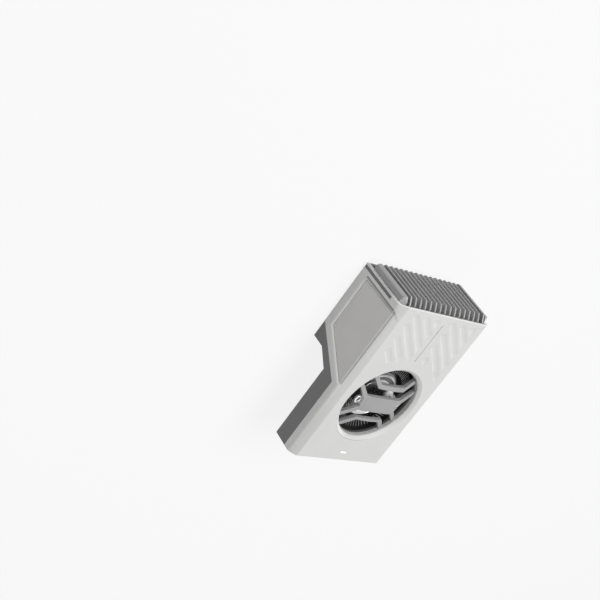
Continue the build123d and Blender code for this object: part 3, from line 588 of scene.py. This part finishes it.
def lit_window(name, colour, strength):
    """Milky light guide that glows a little, with a faint haze."""
    g = Graph(name)
    tone = g.clouded(g.noise(1.2), colour, 0.96, 1.0)
    g.coloured(tone)
    g.link(tone, g.shader.inputs["Emission Color"])
    g.set(Roughness=0.35, Emission_Strength=strength)
    g.raised((g.noise(0.3), 0.004))
    return g.material


def solder_mask(name, colour):
    """Circuit board: lacquered copper tracks under a coloured mask, over a woven core."""
    g = Graph(name)
    g.set(Roughness=0.35, Coat_Weight=0.4, Coat_Roughness=0.2)
    tracks = g.add("ShaderNodeTexBrick", offset=0.35, squash=1.6)
    tracks.inputs["Scale"].default_value = 180
    tracks.inputs["Mortar Size"].default_value = 0.035
    for socket, tone in (("Color1", 0), ("Color2", 0.15), ("Mortar", 1)):
        tracks.inputs[socket].default_value = (tone, tone, tone, 1)
    g.link(g.mapped(turn=(0, 0, 0.785)), tracks.inputs["Vector"])
    g.coloured(g.mixed(tracks.outputs["Color"], colour, shaded(colour, 1.9)))
    g.raised((tracks.outputs["Color"], 0.03), (g.noise(0.6), 0.01))
    return g.material


def seen_rays(tree):
    """1 for the rays that show a surface directly, in a mirror or through glass, and 0 for light."""
    path = tree.nodes.new("ShaderNodeLightPath")
    total = path.outputs["Is Camera Ray"]
    for name in ("Is Glossy Ray", "Is Transmission Ray"):
        node = tree.nodes.new("ShaderNodeMath")
        node.operation = "MAXIMUM"
        tree.links.new(total, node.inputs[0])
        tree.links.new(path.outputs[name], node.inputs[1])
        total = node.outputs[0]
    return total


def pale_stage(name, colour):
    """Pale paper that shows nearly white and still takes a soft shadow."""
    g = Graph(name)
    g.set(Roughness=0.9, Specular_IOR_Level=0.1)
    g.coloured(g.clouded(g.noise(2, 3.0), colour, 0.99, 1.01))
    glow = g.add("ShaderNodeEmission")
    glow.inputs["Color"].default_value = (1, 1, 1, 1)
    blend = g.add("ShaderNodeMixShader")
    g.link(g.math("MULTIPLY", seen_rays(g.tree), FLOOR_GLOW), blend.inputs["Fac"])
    g.link(g.shader.outputs["BSDF"], blend.inputs[1])
    g.link(glow.outputs["Emission"], blend.inputs[2])
    g.link(blend.outputs["Shader"], g.tree.nodes["Material Output"].inputs["Surface"])
    return g.material


def paint(material, *names):
    """Puts a material in every slot of the named CAD nodes."""
    for name in names:
        mesh = nodes[name].data
        if not mesh.materials:
            mesh.materials.append(material)
        for index in range(len(mesh.materials)):
            mesh.materials[index] = material


# Shapes


def soften(name, width):
    """Breaks the sharp edges of a CAD node: its triangles are joined, flat areas are merged
    and every edge over about 30 degrees gets a rounded bevel of that width in metres."""
    piece = nodes[name]
    weld = piece.modifiers.new("join", "WELD")
    weld.merge_threshold = 1e-6
    flatten = piece.modifiers.new("merge_flats", "DECIMATE")
    flatten.decimate_type = "DISSOLVE"
    flatten.angle_limit = 0.01
    bevel = piece.modifiers.new("soft_edges", "BEVEL")
    bevel.width = width
    bevel.segments = 2
    bevel.limit_method = "ANGLE"
    bevel.angle_limit = 0.52
    bevel.use_clamp_overlap = True
    bevel.harden_normals = False


def surface(name, grids, material, closed=True, replaces=()):
    """A piece from whole grids of X, Y and Z, one grid for each repeat of the shape: quads between
    neighbours along rows and columns, with the last column joined to the first where it is
    closed. It rides on the case."""
    x, y, z = (np.stack(axis) for axis in zip(*grids))
    layers, rows, columns = x.shape
    index = np.arange(layers * rows * columns).reshape(layers, rows, columns)
    if closed:
        index = np.concatenate([index, index[:, :, :1]], axis=2)
    quads = np.stack(
        [index[:, :-1, :-1], index[:, 1:, :-1], index[:, 1:, 1:], index[:, :-1, 1:]], axis=-1
    ).reshape(-1, 4)
    mesh = bpy.data.meshes.new(name)
    mesh.from_pydata(np.stack([x, y, z], axis=-1).reshape(-1, 3).tolist(), [], quads.tolist())
    mesh.shade_smooth()
    mesh.materials.append(material)
    piece = bpy.data.objects.new(name, mesh)
    bpy.context.scene.collection.objects.link(piece)
    grid = bmesh.new()
    grid.from_mesh(mesh)
    bmesh.ops.remove_doubles(grid, verts=grid.verts, dist=1e-7)
    bmesh.ops.recalc_face_normals(grid, faces=grid.faces)
    grid.to_mesh(mesh)
    grid.free()
    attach(piece, "case")
    if replaces:
        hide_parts(*replaces)
    return piece


def screw_grid(head_radius, head_height, radius, length):
    """A cross-head screw about +Z with its seat at 0 and its tip at +length, all in metres.
    The radius follows a profile of head face, rounded rim, seat, threaded shank and point. On the
    shank it drops by a cosine of turns along Z less the angle, which is a helix. On the head face
    the height drops inside a cross of two bars, smoothed at its edges."""
    pitch, rows_per_turn = 0.8 * MM, 8
    face_rows, rim_rows = 16, 5
    flat, round_off = 0.86, 0.14
    threaded_share, point_share = 0.9, 0.97
    angle = np.linspace(0, 2 * np.pi, 48, endpoint=False)
    face = np.linspace(0, flat, face_rows)
    rim = np.linspace(0, np.pi / 2, rim_rows)
    turns = int(round(length / pitch)) * rows_per_turn
    shank = np.linspace(0.0, threaded_share, turns)
    r = np.concatenate(
        [
            face * head_radius,
            head_radius * (flat + round_off * np.sin(rim)),
            [head_radius, radius],
            np.full(turns, radius),
            [0.55 * radius, 0.0],
        ]
    )
    z = np.concatenate(
        [
            np.full(face_rows, -head_height),
            -head_height + head_radius * round_off * (1 - np.cos(rim)),
            [0.0, 0.0],
            shank * length,
            [point_share * length, length],
        ]
    )
    r, z, angle = r[:, None], z[:, None], angle[None]
    threaded = np.zeros_like(r)
    threaded[-turns - 2 : -2] = 1.0
    thread_depth = 0.16 * radius
    r = r - thread_depth * (0.5 - 0.5 * np.cos(2 * np.pi * z / pitch - angle)) * threaded
    x, y = r * np.cos(angle), r * np.sin(angle)
    arm, reach, edge, slot_depth = 0.15, 0.62, 0.05, 0.55
    near = np.minimum(np.abs(x), np.abs(y)) / head_radius
    cross = np.clip((arm - near) / edge, 0, 1) * np.clip((reach - r / head_radius) / edge, 0, 1)
    on_face = np.zeros_like(r)
    on_face[:face_rows] = 1.0
    z = z + cross * on_face * slot_depth * head_height
    return x, y, z


def screws(name, spots, replaces, material):
    """All the screws of one node. Each spot gives the place of the seat, the way of the tip along
    Z as 1 or -1, and the head radius, head height, shank radius and length, all in millimetres."""
    grids = []
    for x, y, seat, way, *sizes in spots:
        grid = screw_grid(*(size * MM for size in sizes))
        grids.append((grid[0] + x * MM, grid[1] * way + y * MM, grid[2] * way + seat * MM))
    surface(name, grids, material, replaces=(replaces,))


def lathe(name, centres, profile, material):
    """Small upright turned pieces: a profile of radius and height in millimetres swept about the
    Z line through each centre."""
    r, z = (np.array(column)[:, None] * MM for column in zip(*profile))
    angle = np.linspace(0, 2 * np.pi, 40, endpoint=False)[None]
    grids = [
        (r * np.cos(angle) + x * MM, r * np.sin(angle) + y * MM, z + 0 * angle) for x, y in centres
    ]
    surface(name, grids, material)


def coil_windings(material):
    """Close turns of wire round every tooth, in two layers. Each layer is a tube along a helix:
    its middle line goes round a rounded rectangle, a fourth-power superellipse, while it moves out
    along the tooth, and each ring of the tube lies in the plane of that line's outward way."""
    wire, turns, teeth = 0.2 * MM, 7, 6
    start, end = 4.75 * MM, 7.35 * MM
    middle_z = 19.55 * MM
    layers = ((0.98 * MM, 0.85 * MM), (1.34 * MM, 0.9 * MM))
    along = np.linspace(0, 2 * np.pi * turns, 28 * turns)
    ring = np.linspace(0, 2 * np.pi, 8, endpoint=False)
    c, s = np.cos(along), np.sin(along)
    grow = (c**4 + s**4) ** -0.25
    out_y, out_z = c * grow, s * grow
    length = np.hypot(out_y, out_z)
    r = np.linspace(start, end, len(along))[:, None] + wire * np.sin(ring)[None]
    grids = []
    for half_wide, half_high in layers:
        y = (half_wide * out_y)[:, None] + wire * (out_y / length)[:, None] * np.cos(ring)
        z = (half_high * out_z)[:, None] + wire * (out_z / length)[:, None] * np.cos(ring)
        for tooth in range(teeth):
            turn = 2 * np.pi * tooth / teeth
            across = r * np.cos(turn) - y * np.sin(turn)
            ahead = r * np.sin(turn) + y * np.cos(turn)
            grids.append((across, ahead + FAN_AXIS[1] * MM, z + middle_z))
    surface("coil_windings", grids, material, replaces=("coils",))


def ribbons(name, places, width, line, material):
    """Flat metal ribbons of one width along X that share one bent middle line in Y and Z. Each
    ribbon is the line carried across its width, and a Solidify modifier gives its thickness. A
    place gives X, Y and Z in millimetres, and the way of the line along Y as 1 or -1."""
    line = np.array(line) * MM
    across = np.array([[-0.5, 0.5]]) * width * MM + np.zeros((len(line), 1))
    ahead, up = line[:, :1] + 0 * across, line[:, 1:] + 0 * across
    grids = [(across + x * MM, way * ahead + y * MM, up + z * MM) for x, y, z, way in places]
    piece = surface(name, grids, material, closed=False)
    wall = piece.modifiers.new("thickness", "SOLIDIFY")
    wall.thickness = 0.08 * MM
    wall.offset = 0.0


# Stage


def lay_floor(colour):
    """A wide pale floor under the object."""
    mesh = bpy.data.meshes.new("floor")
    corners = [(-1, -1), (1, -1), (1, 1), (-1, 1)]
    mesh.from_pydata([(FLOOR_REACH * x, FLOOR_REACH * y, 0) for x, y in corners], [], [(0, 1, 2, 3)])
    floor = bpy.data.objects.new("floor", mesh)
    bpy.context.scene.collection.objects.link(floor)
    mesh.materials.append(pale_stage("pale_floor", colour))


def fill_room(strength):
    """A sky that shows white and lights the object with a given strength."""
    world = bpy.data.worlds.new("pale_room")
    world.use_nodes = True
    bpy.context.scene.world = world
    tree = world.node_tree
    level = tree.nodes.new("ShaderNodeMapRange")
    level.inputs["To Min"].default_value = strength
    level.inputs["To Max"].default_value = 1.0
    tree.links.new(seen_rays(tree), level.inputs["Value"])
    back = tree.nodes["Background"]
    back.inputs["Color"].default_value = (1, 1, 1, 1)
    tree.links.new(level.outputs["Result"], back.inputs["Strength"])


def hang_key(power):
    """A wide soft lamp over the fin end. Its own X axis is square to the scene's Y axis."""
    lamp = bpy.data.lights.new("key", "AREA")
    lamp.energy = power
    lamp.size = KEY_SIZE
    key = bpy.data.objects.new("key", lamp)
    bpy.context.scene.collection.objects.link(key)
    place = np.array(KEY_PLACE, float)
    back = place - np.array(KEY_TARGET, float)
    back /= np.linalg.norm(back)
    right = np.cross((0.0, 1.0, 0.0), back)
    right /= np.linalg.norm(right)
    matrix = np.eye(4)
    matrix[:3] = np.stack([right, np.cross(back, right), back, place], axis=1)
    key.matrix_world = Matrix(matrix.tolist())


def aim_camera():
    """The camera at the photograph's viewing angle."""
    lens = bpy.data.cameras.new("camera")
    lens.sensor_width = 36.0
    lens.lens = FOCAL_LENGTH
    camera = bpy.data.objects.new("camera", lens)
    bpy.context.scene.collection.objects.link(camera)
    camera.location = CAMERA_PLACE
    camera.rotation_euler = np.radians(CAMERA_TURN)
    bpy.context.scene.camera = camera
    bpy.context.scene.view_settings.view_transform = "Standard"


# Settings


class CaseSettings(bpy.types.PropertyGroup):
    """Colours and edge size of the case."""

    shell_colour: colour_property("Shell", "Colour of the light shell", (0.80, 0.80, 0.79))
    panel_colour: colour_property("Panel", "Colour of the side panels", (0.74, 0.732, 0.716))
    tray_colour: colour_property("Tray", "Colour of the dark tray", (0.2, 0.2, 0.2))
    strip_colour: colour_property("Strip", "Colour of the side strips", (0.145, 0.145, 0.148))
    edge: length_property("Edge", "Rounding of the moulded edges", 0.18 * MM)


class MetalSettings(bpy.types.PropertyGroup):
    """Colours and edge sizes of the metal parts."""

    fin_colour: colour_property("Fins", "Colour of the heat sink", (0.36, 0.36, 0.36))
    guard_colour: colour_property("Guard", "Colour of the guard", (0.4, 0.4, 0.4))
    motor_colour: colour_property("Motor plate", "Colour of the motor plate", (0.80, 0.80, 0.80))
    guard_edge: length_property("Guard edge", "Rounding of the guard's bars", 0.25 * MM)
    fin_edge: length_property("Fin edge", "Rounding of the fins", 0.15 * MM)


class StageSettings(bpy.types.PropertyGroup):
    """Light and floor."""

    key_power: FloatProperty(
        name="Key", description="Power of the key light", default=6.6, min=0, unit="POWER"
    )
    fill: FloatProperty(name="Fill", description="Strength of the sky", default=0.31, min=0)
    floor_colour: colour_property("Floor", "Colour of the floor", (0.8, 0.8, 0.8))


SETTINGS = {
    "cooler_case": CaseSettings,
    "cooler_metal": MetalSettings,
    "cooler_stage": StageSettings,
}


# Operators, one for each group of like pieces and one for the stage


class COOLER_OT_case(bpy.types.Operator):
    """Finishes the shell, side panels, side strips and tray"""

    bl_idname = "cooler.case"
    bl_label = "Case"

    def execute(self, context):
        look = context.scene.cooler_case
        paint(shell_plastic("pale_moulding", look.shell_colour), "back_shell")
        # Painted shade on the panels' faces across Z and a painted shadow past their fin end
        panel = moulded_plastic(
            "panel_moulding", look.panel_colour, 0.55, painted_facing_light=("Z", 0.72), end=PANEL_END + 0.15
        )
        paint(panel, "side_panel_left", "side_panel_right")
        paint(smoked_strip("smoked_strip", look.strip_colour), "side_strip_left", "side_strip_right")
        paint(moulded_plastic("dark_moulding", look.tray_colour, 0.52), "base_tray")
        for name in ("back_shell", "base_tray"):
            soften(name, look.edge)
        return {"FINISHED"}


class COOLER_OT_metal(bpy.types.Operator):
    """Finishes the heat sink, the guard and the cold plate"""

    bl_idname = "cooler.metal"
    bl_label = "Metal parts"

    def execute(self, context):
        look = context.scene.cooler_metal
        # Painted light on the fins' side walls in the gaps and on the cheeks, painted shade on the
        # cheeks' outer sides
        fins = blasted_metal(
            "fin_metal",
            look.fin_colour,
            roughness=0.55,
            streak=(1, 1, 30),
            metallic=0.2,
            painted_facing_light=("X", 1.4, HALF_WIDTH - 5.2, 1.3, 0.93),
        )
        paint(fins, "heat_sink")
        soften("heat_sink", look.fin_edge)
        paint(guard_metal("guard_metal", look.guard_colour), "fan_guard")
        soften("fan_guard", look.guard_edge)
        paint(blasted_metal("cold_plate_metal", (0.75, 0.75, 0.76), 0.3), "cold_plate")
        return {"FINISHED"}


class COOLER_OT_blower(bpy.types.Operator):
    """Finishes the impeller, its motor and the housing round it"""

    bl_idname = "cooler.blower"
    bl_label = "Blower"

    def execute(self, context):
        look = context.scene.cooler_metal
        black = moulded_plastic("black_moulding", (0.06, 0.06, 0.062), 0.38, 0.3, variation=0.08)
        paint(black, "blower_housing")
        # Painted highlights on the blades' top faces
        blades = moulded_plastic("blade_moulding", (0.05, 0.05, 0.05), 0.35, painted_facing_light=("Z", 4.5))
        paint(blades, "impeller")
        paint(turned_metal("motor_plate_metal", look.motor_colour), "motor_plate", "shaft")
        paint(pitted("sintered_bronze", (0.5, 0.34, 0.16), 0.4, 0.12, 0.02, 1.0), "bearing_sleeve")
        paint(pitted("bonded_magnet", (0.09, 0.09, 0.095), 0.5, 0.3, 0.02, 0.4), "magnet_ring")
        paint(stacked_sheets("core_sheets", (0.42, 0.42, 0.44)), "stator_core")
        wire = wound_wire("coil_wire", (0.62, 0.28, 0.12))
        paint(wire, "coils")
        coil_windings(wire)
        return {"FINISHED"}


class COOLER_OT_cold_stack(bpy.types.Operator):
    """Finishes the cooling module, its foam frame and the soft pad under it"""

    bl_idname = "cooler.cold_stack"
    bl_label = "Cold stack"

    def execute(self, context):
        alumina = moulded_plastic("alumina", (0.86, 0.86, 0.83), roughness=0.3, grain=0.08)
        paint(alumina, "cold_ceramic", "hot_ceramic")
        paint(pitted("pellet_crystal", (0.4, 0.41, 0.43), 0.35, 0.4, 0.02, 1.0), "thermo_pellets")
        paint(pitted("closed_foam", (0.045, 0.045, 0.048), 0.8, 0.5, 0.12), "foam_frame")
        paint(pitted("soft_pad", (0.40, 0.42, 0.45), 0.6, 0.7, 0.02), "thermal_pad")
        return {"FINISHED"}


class COOLER_OT_electronics(bpy.types.Operator):
    """Finishes the circuit board, its parts, the power socket and the status window"""

    bl_idname = "cooler.electronics"
    bl_label = "Electronics"

    def execute(self, context):
        paint(solder_mask("solder_mask", (0.02, 0.10, 0.06)), "circuit_board")
        paint(moulded_plastic("chip_moulding", (0.03, 0.03, 0.032), 0.45, 0.12), "board_chips")
        paint(blasted_metal("socket_metal", (0.7, 0.7, 0.71), 0.25, 0.4), "power_socket")
        paint(lit_window("lit_window", (0.96, 0.97, 0.98), 0.6), "light_pipe")

        plated = blasted_metal("plated_contact", (0.83, 0.63, 0.30), 0.22, 0.1, 0.002)
        mouth_y, mouth_z = SOCKET_MOUTH
        contacts = [
            (x * CONTACT_PITCH, mouth_y, mouth_z + side * CONTACT_ROW, 1)
            for x in np.arange(-5.5, 6)
            for side in BOTH_WAYS
        ]
        straight = [(1.2, 0.0), (4.6, 0.0)]
        ribbons("socket_contacts", contacts, 0.26, straight, plated)

        tinned = blasted_metal("tinned_lead", (0.72, 0.72, 0.72), 0.3, 0.15, 0.004)
        _, chip_y, chip_z = CHIP_PLACE
        leads = [
            (x, chip_y + way * CHIP_HALF, chip_z, way) for x in CHIP_LEADS for way in BOTH_WAYS
        ]
        gull_wing = [(0.0, 0.45), (0.3, 0.42), (0.45, 0.08), (0.95, 0.05)]
        ribbons("driver_leads", leads, 0.4, gull_wing, tinned)
        return {"FINISHED"}


class COOLER_OT_fastenings(bpy.types.Operator):
    """Finishes all the screws and adds the guard's inserts"""

    bl_idname = "cooler.fastenings"
    bl_label = "Fastenings"

    def execute(self, context):
        steel = blasted_metal("screw_metal", (0.62, 0.62, 0.63), 0.3, 0.25, 0.012)
        # Near-black motor screws, a painted shade that keeps the lugs' bores dark
        dark = blasted_metal("bore_shade_screw_metal", (0.03, 0.03, 0.03), 0.4, 0.25, 0.012, metallic=0.5)
        for name, spots in SCREW_SPOTS.items():
            metal = dark if name == "motor_screws" else steel
            paint(metal, name)
            mirrored = [(way * x, *rest) for x, *rest in spots for way in BOTH_WAYS]
            screws(name.replace("screws", "machine_screws"), mirrored, name, metal)
        bright = blasted_metal("insert_metal", (0.9, 0.9, 0.9), 0.25, 0.2, 0.004)
        lugs = [(way * LUG_X, FAN_AXIS[1]) for way in BOTH_WAYS]
        lathe("guard_inserts", lugs, INSERT, bright)
        return {"FINISHED"}


class COOLER_OT_stage(bpy.types.Operator):
    """Lays the pale floor and sets the light and the camera"""

    bl_idname = "cooler.stage"
    bl_label = "Stage"

    def execute(self, context):
        look = context.scene.cooler_stage
        lay_floor(look.floor_colour)
        fill_room(look.fill)
        hang_key(look.key_power)
        aim_camera()
        return {"FINISHED"}


PIECES = (
    COOLER_OT_case,
    COOLER_OT_metal,
    COOLER_OT_blower,
    COOLER_OT_cold_stack,
    COOLER_OT_electronics,
    COOLER_OT_fastenings,
    COOLER_OT_stage,
)


class COOLER_PT_panel(bpy.types.Panel):
    """Lists the pieces and their settings"""

    bl_idname = "COOLER_PT_panel"
    bl_label = "Cooler"
    bl_space_type = "VIEW_3D"
    bl_region_type = "UI"
    bl_category = "Cooler"

    def draw(self, context):
        for key, group in SETTINGS.items():
            for setting in group.__annotations__:
                self.layout.prop(getattr(context.scene, key), setting)
        for piece in PIECES:
            self.layout.operator(piece.bl_idname)


def register():
    """Adds the settings, the operators and the panel."""
    for key, group in SETTINGS.items():
        bpy.utils.register_class(group)
        setattr(bpy.types.Scene, key, PointerProperty(type=group))
    for piece in PIECES:
        bpy.utils.register_class(piece)
    bpy.utils.register_class(COOLER_PT_panel)


def unregister():
    """Takes them away again."""
    bpy.utils.unregister_class(COOLER_PT_panel)
    for piece in reversed(PIECES):
        bpy.utils.unregister_class(piece)
    for key, group in SETTINGS.items():
        delattr(bpy.types.Scene, key)
        bpy.utils.unregister_class(group)


def main():
    """Dresses the model piece by piece."""
    register()
    for piece in PIECES:
        group, action = piece.bl_idname.split(".")
        getattr(getattr(bpy.ops, group), action)()


if __name__ == "__main__":
    main()
